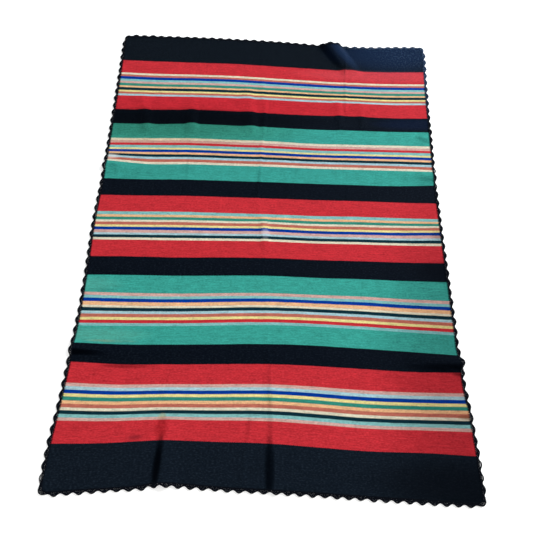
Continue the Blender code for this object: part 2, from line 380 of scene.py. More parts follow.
class Bench:
    """One material's nodes, round its Principled shader."""

    def __init__(self, name: str) -> None:
        """Makes the material, with its usual shader and output.

        Args:
            name: The material's name.
        """
        self.material = bpy.data.materials.new(name)
        self.material.use_nodes = True
        self.tree = self.material.node_tree
        self.shader = self.tree.nodes["Principled BSDF"]

    def node(self, kind: str, settings: dict, inputs: dict, output: Union[int, str] = 0) -> Value:
        """Adds a node, with its settings first and its sockets after them.

        Args:
            kind: The node's type.
            settings: Its settings by name, and a colour ramp's "stops" as places and colours.
            inputs: Values or links by the socket's name or number.
            output: The name or number of the output that is wanted.

        Returns:
            That output.
        """
        made = self.tree.nodes.new(kind)
        stops = settings.get("stops", ())
        target = made.color_ramp if stops else made
        for name, setting in settings.items():
            if name != "stops":
                setattr(target, name, setting)
        for index, (place, colour) in enumerate(stops):
            ramp = made.color_ramp.elements
            stop = ramp[index] if index < len(ramp) else ramp.new(place)
            stop.position = place
            stop.color = colour
        for key, given in inputs.items():
            self.feed(made.inputs[key], given)
        return Value(self, made.outputs[output])

    def feed(self, socket: bpy.types.NodeSocket, given: Input) -> None:
        """Links a value to a socket, or sets a constant on it.

        Args:
            socket: The socket.
            given: A value from another node, or a constant.
        """
        if isinstance(given, Value):
            self.tree.links.new(given.socket, socket)
        else:
            socket.default_value = given

    def mix(self, share: Input, first: Input, second: Input, way: Way = Way.COVER) -> Value:
        """Mixes two colours.

        Args:
            share: 0 gives the first colour, and 1 the full effect of the second.
            first: A colour.
            second: Another colour.
            way: How the second colour is laid on the first.

        Returns:
            The mixed colour.
        """
        settings = {"data_type": "RGBA", "blend_type": way.value}
        return self.node("ShaderNodeMix", settings, {0: share, 6: first, 7: second}, 2)

    def steps(self, place: Value, stops: Sequence[tuple[float, Colour]]) -> Value:
        """Flat colours side by side, each from its own place, 0 to 1, to the next one's."""
        settings = {"interpolation": "CONSTANT", "stops": stops}
        return self.node("ShaderNodeValToRGB", settings, {0: place})

    def parts(self, vector: Value) -> tuple[Value, Value, Value]:
        """The three numbers of a vector."""
        return tuple(self.node("ShaderNodeSeparateXYZ", {}, {0: vector}, k) for k in range(3))

    def held(self, attribute: str) -> tuple[Value, Value, Value]:
        """The three numbers of a vector that the mesh's points hold."""
        settings = {"attribute_name": attribute}
        return self.parts(self.node("ShaderNodeAttribute", settings, {}, "Vector"))

    def position(self) -> Value:
        """The place in the frame, as a vector."""
        return self.node("ShaderNodeNewGeometry", {}, {}, "Position")

    def cells(self, vector: Value, scale: float, detail: float) -> Value:
        """Smooth noise from about 0 to 1, with so many cells to a unit of the vector."""
        inputs = {"Vector": vector, "Scale": scale, "Detail": detail}
        return self.node("ShaderNodeTexNoise", {}, inputs)

    def noise(self, x: Input, y: Input, z: Input = 0.0, detail: float = 2.0) -> Value:
        """Smooth noise, one cell to each unit of the three places."""
        return self.cells(self.node("ShaderNodeCombineXYZ", {}, {0: x, 1: y, 2: z}), 1.0, detail)

    def finish(self, bump: Value, depth: float, **sockets: Input) -> bpy.types.Material:
        """Joins the shader up.

        Args:
            bump: The relief's height, from 0 to 1.
            depth: What a height of 1 stands for, in metres.
            sockets: The shader's sockets, with an underscore for each space.

        Returns:
            The material.
        """
        inputs = {"Strength": 1.0, "Distance": depth, "Height": bump}
        self.feed(self.shader.inputs["Normal"], self.node("ShaderNodeBump", {}, inputs))
        for name, given in sockets.items():
            self.feed(self.shader.inputs[name.replace("_", " ")], given)
        return self.material


# Finishes


class Patch(NamedTuple):
    """One soft place of painted shade, painted highlight or sheen, or a real stain: its middle,
    radii, colour, effect and lean.
    """

    across: float
    along: float
    radius_across: float
    radius_along: float
    colour: Colour
    strength: float = 1.0
    way: Way = Way.SHADE
    patchy: bool = False
    lean: float = 0.0


def grey(share: float) -> Colour:
    """An even grey, which darkens what it multiplies."""
    return (share, share, share, 1.0)


class Corner(NamedTuple):
    """Where the painted sheen rises towards the far right corner: two places, and the way to full
    effect.
    """

    across: float
    along: float
    reach_across: float
    reach_along: float

    def share(self, across: Value, along: Value) -> Value:
        """0 before both places, and 1 where the painted sheen is full."""
        aside = ((across - self.across) / self.reach_across).eased(0.0, 1.0)
        return aside * ((along - self.along) / self.reach_along).eased(0.0, 1.0)


# Painted shade and shadow where the light falls off and on the flanks of folds, creases and tucks,
# painted highlights and sheen, and a few real stains, large ones first
PATCHES = (
    # Painted shade: the light falls off towards the near right
    Patch(0.68, -0.58, 0.4, 0.85, (0.64, 0.6, 0.6, 1.0)),
    # A little darker across the middle, at the second group of narrow stripes
    Patch(0.0, 0.29, 0.7, 0.17, (0.95, 0.93, 0.96, 1.0)),
    # Painted shade: the light falls off towards the far left, over the second red, black and green
    # bands
    Patch(-0.34, 0.39, 0.56, 0.1, (0.88, 0.78, 0.67, 1.0)),
    Patch(-0.4, 0.438, 0.75, 0.045, grey(0.4)),
    Patch(-0.44, 0.386, 0.44, 0.046, grey(0.78)),
    Patch(-0.5, 0.2, 0.34, 0.044, grey(0.9)),
    # Painted shade at the right ends of the third and last black bands
    Patch(0.62, -0.147, 0.16, 0.045, grey(0.4)),
    Patch(0.62, -0.785, 0.42, 0.086, (0.52, 0.46, 0.42, 1.0)),
    # Painted shade over the left part of the second red band
    Patch(-0.2, 0.495, 0.7, 0.05, (0.92, 0.72, 0.8, 1.0)),
    # Painted shade beside the right edge lift
    Patch(0.6, 0.2, 0.16, 0.05, grey(0.86)),
    # Painted shadow and shade on the flanks of the far buckle, the near ridge and the pressed
    # creases
    Patch(0.222, 0.765, 0.021, 0.085, grey(0.16), lean=-0.66),
    Patch(0.278, 0.705, 0.005, 0.045, grey(0.6)),
    Patch(-0.294, -0.77, 0.0155, 0.1, grey(0.08), lean=0.03),
    Patch(-0.296, -0.665, 0.024, 0.05, (0.8, 0.66, 0.66, 1.0)),
    Patch(0.013, -0.77, 0.018, 0.1, grey(0.2), lean=-0.02),
    Patch(0.01, -0.58, 0.011, 0.16, grey(0.8), lean=-0.03),
    Patch(-0.048, -0.66, 0.01, 0.06, grey(0.84), lean=0.03),
    Patch(-0.04, 0.19, 0.008, 0.06, grey(0.78), lean=0.03),
    Patch(-0.031, 0.385, 0.008, 0.042, grey(0.86)),
    Patch(0.277, 0.56, 0.007, 0.13, grey(0.86)),
    Patch(-0.302, 0.22, 0.007, 0.09, grey(0.87)),
    # Painted shadow under the near left tuck, on the black band and on the red below it
    Patch(-0.6, -0.445, 0.13, 0.014, grey(0.06)),
    Patch(-0.425, -0.48, 0.1, 0.008, (0.6, 0.56, 0.56, 1.0)),
    # Darker at the left end of the second green band, over the left edge lift
    Patch(-0.57, 0.217, 0.026, 0.013, grey(0.76)),
    # Painted shade on the left end of the third green band
    Patch(-0.54, -0.232, 0.05, 0.01, grey(0.84)),
    # A darker wedge at the right end of the first green band
    Patch(0.57, 0.37, 0.022, 0.02, grey(0.7), lean=-1.5),
    # Painted shade on the right edge lift
    Patch(0.585, 0.203, 0.065, 0.013, grey(0.8)),
    # Darker at the right end of the middle group of narrow stripes
    Patch(0.6, -0.018, 0.05, 0.024, grey(0.62)),
    # Painted shadow under the near right tuck, on the black band and on the red below it
    Patch(0.57, -0.461, 0.17, 0.018, grey(0.1)),
    Patch(0.589, -0.479, 0.024, 0.009, grey(0.45)),
    # A darker red mark on the last red band, then real stains: yellowish, a pale line, and rust
    # brown
    Patch(-0.366, -0.693, 0.028, 0.01, from_screen(96, 26, 34), 0.42, Way.COVER),
    Patch(-0.298, -0.629, 0.016, 0.012, from_screen(200, 176, 90), 0.5, Way.COVER, patchy=True),
    Patch(-0.485, -0.404, 0.095, 0.006, from_screen(150, 140, 100), 0.36, Way.COVER, patchy=True),
    Patch(0.58, -0.6, 0.026, 0.009, from_screen(110, 66, 40), 0.6, Way.COVER),
    # Painted sheen: navy towards the far right corner and on the far buckle's crest, pink over the
    # first red band's right part, blue at the second black band's right end
    Patch(0.48, 0.8, 0.32, 0.135, from_screen(30, 68, 124), 0.16, Way.COVER),
    Patch(0.27, 0.775, 0.034, 0.1, from_screen(44, 76, 124), 0.11, Way.COVER, lean=-0.7),
    Patch(0.42, 0.67, 0.42, 0.034, from_screen(255, 170, 182), 0.055, Way.COVER),
    Patch(0.54, 0.438, 0.2, 0.034, from_screen(16, 54, 120), 0.07, Way.COVER),
    # Painted light on the left ends of the third and fourth green bands
    Patch(-0.6, -0.212, 0.15, 0.034, from_screen(170, 222, 200), 0.07, Way.COVER),
    Patch(-0.53, -0.38, 0.2, 0.034, from_screen(180, 222, 186), 0.075, Way.COVER),
    # Painted highlights on the left edge lift and on the middle pucker
    Patch(-0.59, 0.262, 0.05, 0.016, from_screen(246, 240, 232), 0.4, Way.COVER),
    Patch(-0.012, -0.026, 0.019, 0.022, from_screen(215, 225, 240), 0.26, Way.COVER),
)


class Grain(NamedTuple):
    """One noise of the cloth: its cells to a metre across and along, layer, weight and detail."""

    across: float
    along: float
    layer: float
    weight: float
    detail: float = 2.0

    def noise(self, bench: Bench, across: Value, along: Value) -> Value:
        """The noise at each place of the cloth."""
        return bench.noise(across * self.across, along * self.along, self.layer, self.detail)


@dataclass(frozen=True)
class StripedWool:
    """The weft-faced weave, its stripes laid out from the far border to the near one."""

    name: str = "striped weft-faced wool"
    far_edge: float = 0.6968
    red: float = 0.0603
    green: float = 0.06266
    black: float = 0.06255
    ramp_start: float = 0.001
    ramp_spare: float = 0.01
    column: float = 0.0026
    bead: float = 0.0019
    comb: float = 0.0009
    wander: float = 0.0016
    relief: float = 0.0007
    ground: float = 0.62
    bead_shade: float = 0.28
    streak: Grain = Grain(9, 520, 3.0, 0.46)
    slub: Grain = Grain(40, 190, 5.0, 0.56)
    mottle: Grain = Grain(26, 34, 7.0, 0.28, 4.0)
    fleck: Grain = Grain(150, 300, 11.0, 0.80)
    fuzz: Grain = Grain(900, 1100, 1.0, 0.12)
    glint: Grain = Grain(150, 130, 17.0, 0.09)
    lint: float = 0.062
    sheen_corner: Corner = Corner(0.30, 0.66, 0.20, 0.12)

    def bands(self) -> list[tuple[float, Optional[int], Yarn]]:
        """The broad bands from the far side to the near side.

        Returns:
            For each band its far edge, the number of its group where it holds narrow stripes,
            and its yarn.
        """
        edge = self.far_edge
        found = []
        for group, narrow in enumerate(NARROW_GROUPS):
            ground, width = (Y.GREEN, self.green) if group % 2 else (Y.RED, self.red)
            for number, yarn, size in (
                (None, ground, width),
                (group, ground, sum(narrow.widths) / 1000),
                (None, ground, width),
                (None, Y.BLACK, self.black),
            ):
                found.append((edge, number, yarn))
                edge -= size
        found[-1] = (*found[-1][:2], Y.INK)
        return found

    def stripes(self, bench: Bench, along: Value) -> Value:
        """The yarn's colour at each place along the cloth.

        Args:
            bench: The material's bench.
            along: The place along the cloth, in metres.

        Returns:
            The colour.
        """
        far, reach = self.far_edge, 2 * self.far_edge + self.ramp_spare
        bands = self.bands()
        stops = [(0.0, Y.NIGHT.value)]
        stops += [((far - edge) / reach + self.ramp_start, yarn.value) for edge, _, yarn in bands]
        colour = bench.steps((far - along) / reach + self.ramp_start, stops)
        for edge, group, _ in bands:
            if group is None:
                continue
            yarns, widths = NARROW_GROUPS[group]
            inside = (edge - along) / (sum(widths) / 1000)
            stops = [(sum(widths[:k]) / sum(widths), yarn.value) for k, yarn in enumerate(yarns)]
            narrow = bench.steps(inside, stops)
            colour = bench.mix((inside > 0.0) * (inside < 1.0), colour, narrow)
        return colour

    def painted_light_and_stains(self, bench: Bench, colour: Value, place: tuple[Value, Value], mottle: Value) -> Value:
        """The colour with the patches' painted shade, highlights and sheen, their real stains, and
        painted glints towards the far right corner.

        Args:
            bench: The material's bench.
            colour: The clean cloth's colour.
            place: The places across and along the cloth, in metres.
            mottle: What breaks up the patchy stains.

        Returns:
            The colour.
        """
        across, along = place
        for patch in PATCHES:
            ahead = (along - patch.along) / patch.radius_along
            shift = ahead * (patch.lean * patch.radius_along)
            aside = (across - patch.across - shift) / patch.radius_across
            soft = (1 - (aside * aside + ahead * ahead)).eased(0.0, 1.0)
            soft = soft * mottle.eased(0.30, 0.62) if patch.patchy else soft
            colour = bench.mix(soft * patch.strength, colour, patch.colour, patch.way)
        # Painted glints: pale blue specks of sheen towards the far right corner
        glint = self.glint.noise(bench, across, along).eased(0.50, 0.64)
        share = self.sheen_corner.share(across, along) * glint * self.glint.weight
        return bench.mix(share, colour, from_screen(110, 140, 176))

    def make(self) -> bpy.types.Material:
        """Builds the material: stripes, the weave's beads with painted shade in the gaps between
        them, yarn streaks, lint, stains, and painted shade, highlights and sheen.

        Returns:
            The material.
        """
        bench = Bench(self.name)
        across, along, _ = bench.held("cloth")
        odd = (across / (2 * self.column)).fraction() > 0.5
        wander = (bench.noise(across * 24, 0.0, along * 30) - 0.5) * self.wander
        colour = self.stripes(bench, along + wander + (odd - 0.5) * self.comb)

        column = (across / self.column).fraction() - 0.5
        bead = (along / self.bead + odd * 0.5 + column * 0.5).fraction() - 0.5
        weave = (1 - column * column * 3.2) * (1 - bead * bead * 3.4)
        grains = (self.streak, self.slub, self.mottle, self.fleck)
        noises = [grain.noise(bench, across, along) for grain in grains]
        streak, _, mottle, fleck = noises
        fuzz = self.fuzz.noise(bench, across, along)

        uneven = sum((noise - 0.5) * grain.weight for noise, grain in zip(noises, grains))
        # Painted shade: darker in the gaps between the weave's beads, with the yarn's uneven tone
        shade = self.ground + weave * self.bead_shade + uneven + fuzz * self.fuzz.weight
        shades = bench.node("ShaderNodeCombineXYZ", {}, {0: shade, 1: shade, 2: shade})
        colour = bench.mix(1.0, colour, shades, Way.SHADE)
        colour = bench.mix(fleck.eased(0.46, 0.78) * self.lint, colour, from_screen(96, 110, 124))
        colour = self.painted_light_and_stains(bench, colour, (across, along), mottle)
        return bench.finish(
            weave * 0.7 + streak * 0.35 + fuzz * 0.25,
            self.relief,
            Base_Color=colour,
            Roughness=0.50,
            Specular_IOR_Level=0.020,
            Specular_Tint=(0.15, 0.45, 1.0, 1.0),
            Sheen_Weight=0.02,
            Sheen_Roughness=0.50,
            Sheen_Tint=(0.20, 0.50, 1.0, 1.0),
        )


@dataclass(frozen=True)
class CrochetYarn:
    """The edging's blue-black yarn, of twisted plies."""

    name: str = "twisted crochet yarn"
    ply: float = 0.0034
    plies: int = 3
    relief: float = 0.0003
    sheen_corner: Corner = Corner(0.20, 0.44, 0.22, 0.30)
    sheen_strength: float = 0.75
    glint_strength: float = 0.70

    def make(self) -> bpy.types.Material:
        """Builds the material: the twist of the plies with painted shade in their grooves, a soft
        nap, and painted sheen and glints at its far right corner.

        Returns:
            The material.
        """
        bench = Bench(self.name)
        gone, up, side = bench.held("yarn")
        turn = up.angle_from(side) * self.plies + gone * (2 * math.pi / self.ply)
        twist = turn.sine() * 0.5 + 0.5
        fuzz = bench.noise(gone * 1400, up * 3, side * 3)
        # Painted shade: the plies' grooves darker than their crests
        colour = bench.mix(twist * 0.6 + fuzz * 0.3, from_screen(4, 5, 9), from_screen(15, 19, 29))
        x, y, _ = bench.parts(bench.position())
        # Painted sheen: navy towards the far right corner, with pale blue glints
        sheen_corner = self.sheen_corner.share(x, y)
        glint = bench.noise(x * 260, y * 260, gone * 200).eased(0.49, 0.64)
        colour = bench.mix(sheen_corner * self.sheen_strength, colour, from_screen(24, 44, 76))
        colour = bench.mix(sheen_corner * glint * self.glint_strength, colour, from_screen(112, 140, 172))
        return bench.finish(
            twist + fuzz * 0.5,
            self.relief,
            Base_Color=colour,
            Roughness=0.75,
            Specular_IOR_Level=0.04,
            Sheen_Weight=0.02,
            Sheen_Roughness=0.4,
            Sheen_Tint=(0.5, 0.7, 1.0, 1.0),
        )


@dataclass(frozen=True)
class PaleFloor:
    """A plain, matt, nearly white floor, whose faint glow clears the shadows round the cloth."""

    name: str = "pale floor"
    colour: Colour = (0.955, 0.945, 0.925, 1.0)
    glow: float = 0.30
    grain: float = 60.0
    relief: float = 0.0001

    def make(self) -> bpy.types.Material:
        """Builds the material, with a faint grain.

        Returns:
            The material.
        """
        bench = Bench(self.name)
        return bench.finish(
            bench.cells(bench.position(), self.grain, 2.0),
            self.relief,
            Base_Color=self.colour,
            Roughness=0.9,
            Specular_IOR_Level=0.1,
            Emission_Strength=self.glow,
        )


# Meshes


def mesh_piece(
    name: str,
    points: np.ndarray,
    face_sets: Sequence[np.ndarray],
    held: Optional[tuple[str, np.ndarray]] = None,
) -> bpy.types.Object:
    """Makes a smooth mesh object.

    Args:
        name: The object's name.
        points: Its points, one row each.
        face_sets: Arrays of faces, each of one number of corners.
        held: The name and the rows of a vector that the points hold for the material, if any.

    Returns:
        The object, linked to the scene.
    """
    counts = np.concatenate([np.full(len(faces), faces.shape[1]) for faces in face_sets])
    corners = np.concatenate([faces.ravel() for faces in face_sets])
    mesh = bpy.data.meshes.new(name)
    mesh.vertices.add(len(points))
    mesh.vertices.foreach_set("co", points.astype(np.float32).ravel())
    mesh.loops.add(len(corners))
    mesh.loops.foreach_set("vertex_index", corners.astype(np.int32))
    mesh.polygons.add(len(counts))
    mesh.polygons.foreach_set("loop_start", (np.cumsum(counts) - counts).astype(np.int32))
    mesh.polygons.foreach_set("loop_total", counts.astype(np.int32))
    mesh.update(calc_edges=True)
    mesh.validate()
    mesh.shade_smooth()
    if held:
        attribute = mesh.attributes.new(held[0], "FLOAT_VECTOR", "POINT")
        attribute.data.foreach_set("vector", held[1].astype(np.float32).ravel())
    made = bpy.data.objects.new(name, mesh)
    bpy.context.scene.collection.objects.link(made)
    return made


def smooth_step(
    t: np.ndarray, width: np.ndarray, ends: Sequence[np.ndarray], slopes: Sequence[np.ndarray]
) -> np.ndarray:
    """A smooth curve from one knot to the next.

    Args:
        t: How far on from the first knot, as a share of the way.
        width: The distance between the two knots.
        ends: The curve's values at the two knots.
        slopes: Its slopes there.

    Returns:
        The curve's values.
    """
    rise = t * t * (3 - 2 * t)
    level = ends[0] * (1 - rise) + ends[1] * rise
    return level + slopes[0] * width * t * (1 - t) ** 2 - slopes[1] * width * t * t * (1 - t)


def curve_through(knots: Sequence[float], values: Sequence[float], at: np.ndarray) -> np.ndarray:
    """A smooth curve through the knots, read at the given places.

    Args:
        knots: Where the curve's values are given, in rising order.
        values: The values there.
        at: Where the curve is read.

    Returns:
        The curve's values at those places.
    """
    knots = np.asarray(knots, float)
    values = np.asarray(values, float)
    slopes = np.gradient(values, knots)
    piece = np.clip(np.searchsorted(knots, at) - 1, 0, len(knots) - 2)
    width = knots[piece + 1] - knots[piece]
    t = np.clip((at - knots[piece]) / width, 0.0, 1.0)
    pair = (piece, piece + 1)
    return smooth_step(t, width, [values[k] for k in pair], [slopes[k] for k in pair])


def surface_through(
    knots: Sequence[float],
    places: Sequence[float],
    table: np.ndarray,
    along: np.ndarray,
    across: np.ndarray,
) -> np.ndarray:
    """A smooth surface through a table, read at the given points.

    Args:
        knots: The places along that the table's rows stand for.
        places: The places across that its columns stand for.
        table: The values.
        along: The points' places along.
        across: The points' places across.

    Returns:
        The surface's values at the points.
    """
    columns = np.stack([curve_through(knots, column, along) for column in np.transpose(table)])
    slopes = np.gradient(columns, places, axis=0)
    piece = np.clip(np.searchsorted(places, across) - 1, 0, len(places) - 2)
    width = np.diff(places)[piece]
    t = (across - np.array(places)[piece]) / width
    each = np.arange(len(across))
    pair = ((piece, each), (piece + 1, each))
    return smooth_step(t, width, [columns[k] for k in pair], [slopes[k] for k in pair])


def round_edge(grid: np.ndarray) -> np.ndarray:
    """What a grid holds round its edge, counter-clockwise from the near left corner."""
    return np.concatenate([grid[0, :-1], grid[:-1, -1], grid[-1, :0:-1], grid[:0:-1, 0]])


# The woven panel


@dataclass
class WovenPanel:
    """The striped cloth: the form of its underside, its creases, and its thin shell."""

    length: float = 1.630
    thickness: float = 0.0020
    corner_rounding: float = 0.020
    cut_width: float = 1.190
    cut_length: float = 1.640
    end_fade: float = 0.050
    step: float = 0.0085
    end_step: float = 0.004
    rim_bulge: float = 0.0006
    middle: tuple[float, float] = (0.00125, -0.01306)
    finish: StripedWool = field(default_factory=StripedWool)

    def places(self, zones: Sequence[Zone], half: float) -> np.ndarray:
        """Places from -half to half, closer inside the zones and at the two ends.

        Args:
            zones: Where the places are closer, and how close.
            half: Half of the whole stretch.

        Returns:
            The places, in rising order.
        """
        inner = half - self.corner_rounding
        zones = [*zones, Zone(-half, -inner, self.end_step), Zone(inner, half, self.end_step)]
        marks = sorted({mark for zone in zones for mark in (zone.low, zone.high)})
        found = [marks[0]]
        for low, high in zip(marks, marks[1:]):
            middle = (low + high) / 2
            step = next((zone.step for zone in zones if zone.low < middle < zone.high), self.step)
            count = max(1, round((high - low) / step))
            found += [low + (high - low) * k / count for k in range(1, count + 1)]
        return np.array(found)

    def plan(self, across: np.ndarray, along: np.ndarray) -> np.ndarray:
        """Where points of the cloth lie on the floor, before the plan is centred.

        Args:
            across: From -1 at the left edge to 1 at the right edge.
            along: Metres along the cloth.

        Returns:
            Rows of x and y.
        """
        knots = [section.along for section in SECTIONS]
        columns = np.transpose(SECTIONS)
        left, right = (curve_through(knots, columns[k], along) for k in (1, 2))
        slip = surface_through(knots, SLIP_PLACES, columns[3:].T, along, across)
        for pull in PULLS:
            spread = np.where(across < pull.across, pull.spread_left, pull.spread_right)
            inward = np.clip(1 - (along + self.length / 2) / pull.reach, 0, 1) ** 2
            slip += pull.depth * inward * np.exp(-(((across - pull.across) / spread) ** 2))
        return np.stack([left + (right - left) * (across + 1) / 2, along + slip], axis=1)

    def ridge(self, fold: Fold, x: np.ndarray, y: np.ndarray) -> np.ndarray:
        """Height of one fold over points of the floor.

        Args:
            fold: The fold.
            x: The points' places across.
            y: The points' places along.

        Returns:
            The heights, 0 outside the fold's spread.
        """
        start, end = np.array(fold.start), np.array(fold.end)
        length = np.linalg.norm(end - start)
        run = (end - start) / length
        forward = (x - start[0]) * run[0] + (y - start[1]) * run[1]
        leftward = (y - start[1]) * run[0] - (x - start[0]) * run[1]
        spread = np.where(leftward > 0, fold.spread_left, fold.spread_right)
        aside = np.clip(np.abs(leftward) / spread, 0, 1) ** fold.roundness
        past = np.clip(np.maximum(-forward, forward - length) / self.end_fade, 0, 1)
        share = np.clip(forward / length, 0, 1)
        height = fold.height_start + (fold.height_end - fold.height_start) * share
        return height * (1 - aside) ** 2 * (1 - past**2) ** 2

    def swell(self, swell: Swell, x: np.ndarray, y: np.ndarray) -> np.ndarray:
        """Height of one broad rise over points of the floor."""
        away = ((x - swell.x) / swell.radius_x) ** 2 + ((y - swell.y) / swell.radius_y) ** 2
        return swell.height * np.clip(1 - away, 0, 1) ** 2

    def grid(self) -> tuple[np.ndarray, np.ndarray]:
        """The shell's underside, and the cloth's own places that go with it.

        Returns:
            The points as rows, columns and x, y, z, and for each the metres across and along
            the flat cloth.
        """
        half_width = (SECTIONS[0].right - SECTIONS[0].left) / 2
        columns = self.places(CLOSE_ACROSS, half_width) / half_width
        rows = self.places(CLOSE_ALONG, self.length / 2)
        across, along = np.meshgrid(columns, rows)
        shape = across.shape
        flat = self.plan(across.ravel(), along.ravel()).reshape(*shape, 2)
        inner_across = (np.abs(across) - 1) * half_width + self.corner_rounding
        inner_along = np.abs(along) - self.length / 2 + self.corner_rounding
        corner = (inner_across > 0) & (inner_along > 0)
        a, b = np.where(corner, inner_across, 1.0), np.where(corner, inner_along, 1.0)
        shrink = np.where(corner, 1 - np.maximum(a, b) / np.hypot(a, b), 0.0)
        flat[..., 0] -= np.sign(across) * a * shrink
        flat[..., 1] -= np.sign(along) * b * shrink
        x, y = flat[..., 0], flat[..., 1]
        lift = sum(self.ridge(fold, x, y) for fold in (*FOLDS.values(), *CREASES.values()))
        lift += sum(self.swell(swell, x, y) for swell in SWELLS)
        flat -= self.middle
        shifts = np.array(list(DRIFTS.values())) / 1000
        drift = surface_through(list(DRIFTS), DRIFT_PLACES, shifts, along.ravel(), across.ravel())
        straight = along - drift.reshape(shape)
        cloth = np.stack([across * self.cut_width / 2, straight, 0 * along], axis=2)
        return np.concatenate([flat, lift[..., None]], axis=2), cloth

    def build(self, grid: np.ndarray, cloth: np.ndarray) -> bpy.types.Object:
        """Makes the closed thin shell over the underside, with a rounded rim.

        Args:
            grid: The underside's points.
            cloth: The cloth's own places.

        Returns:
            The cloth's object.
        """
        rows, columns = grid.shape[:2]
        count = rows * columns
        number = np.arange(count).reshape(rows, columns)
        corners = (number[:-1, :-1], number[1:, :-1], number[1:, 1:], number[:-1, 1:])
        under = np.stack(corners, axis=2).reshape(-1, 4)
        border = round_edge(number)
        line = Border.of(grid)
        middle = line.line + np.pad(line.outward * self.rim_bulge, ((0, 0), (0, 1)))
        middle[:, 2] += self.thickness / 2
        ring = 2 * count + np.arange(len(border))
        low, high = border, border + count
        ahead = [np.roll(part, -1) for part in (low, ring, high)]
        rim = np.concatenate([
            np.stack([low, ahead[0], ahead[1], ring], axis=1),
            np.stack([ring, ahead[1], ahead[2], high], axis=1),
        ])
        flat = grid.reshape(-1, 3)
        points = np.concatenate([flat, flat + (0, 0, self.thickness), middle])
        held = cloth.reshape(-1, 3)
        held = np.concatenate([held, held, held[border]])
        faces = [under, under[:, ::-1] + count, rim]
        return mesh_piece("striped_cloth", points, faces, ("cloth", held))

    def dress(self, piece: bpy.types.Object) -> None:
        """Gives the cloth its finish and its place in the frame.

        Args:
            piece: The cloth's object.
        """
        piece.data.materials.append(self.finish.make())
        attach(piece, "root")
        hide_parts("woven_panel")


class Border:
    """The panel's edge as a closed line, read by the distance gone round it."""

    def __init__(self, line: np.ndarray, corner_numbers: np.ndarray) -> None:
        """Measures the line.

        Args:
            line: The points round the edge, counter-clockwise from the near left corner.
            corner_numbers: The numbers of the four corners' points, and the line's length.
        """
        self.line = line
        steps = np.linalg.norm((np.roll(line, -1, axis=0) - line)[:, :2], axis=1)
        self.gone = np.concatenate([[0], np.cumsum(steps)])
        self.round = self.gone[-1]
        self.corners = self.gone[corner_numbers]
        chord = (np.roll(line, -1, axis=0) - np.roll(line, 1, axis=0))[:, :2]
        out = np.stack([chord[:, 1], -chord[:, 0]], axis=1)
        self.outward = out / np.linalg.norm(out, axis=1)[:, None]

    @classmethod
    def of(cls, grid: np.ndarray) -> "Border":
        """The border of a grid of points.

        Args:
            grid: The points, as rows, columns and x, y, z.

        Returns:
            The border.
        """
        rows, columns = grid.shape[:2]
        return cls(round_edge(grid), np.cumsum([0, columns - 1, rows - 1, columns - 1, rows - 1]))

    def at(self, gone: np.ndarray, depth: np.ndarray, height: np.ndarray) -> np.ndarray:
        """Points beside the edge.

        Args:
            gone: How far round the edge each lies.
            depth: How far outside the edge each lies.
            height: How far over the cloth's underside each lies.

        Returns:
            The points, with x, y, z as a last axis that the given arrays don't have.
        """
        gone = gone % self.round
        places = np.concatenate([self.line, self.line[:1]])
        outs = np.concatenate([self.outward, self.outward[:1]])
        point = np.stack([np.interp(gone, self.gone, places[:, k]) for k in range(3)], axis=-1)
        out = np.stack([np.interp(gone, self.gone, outs[:, k]) for k in range(2)], axis=-1)
        out = out / np.linalg.norm(out, axis=-1, keepdims=True)
        point[..., :2] += out * depth[..., None]
        point[..., 2] += height
        return point


# The crocheted edging


class Run(NamedTuple):
    """One run of the edging: its node, its loops, their depths and slit, and the open ones."""

    node: str
    loops: int
    takes_corners: bool
    valley: float
    peak: float
    sharpness: float
    slit: float
    open_loops: tuple[int, ...]


RUNS = (
    Run("edging_near", 36, True, 0.0056, 0.0126, 1.20, -0.0004, ()),
    Run("edging_right", 50, False, 0.0044, 0.0110, 0.85, -0.0006, (1, 2, 30, 32)),
    Run("edging_far", 35, True, 0.0036, 0.0098, 0.90, 0.0, (31,)),
    Run("edging_left", 50, False, 0.0052, 0.0116, 0.85, -0.0009, (48,)),
)


class Paths(NamedTuple):
    """Yarn paths beside the cloth's edge, a row each: distances gone round it, depths, heights."""

    gone: np.ndarray
    depth: np.ndarray
    height: np.ndarray


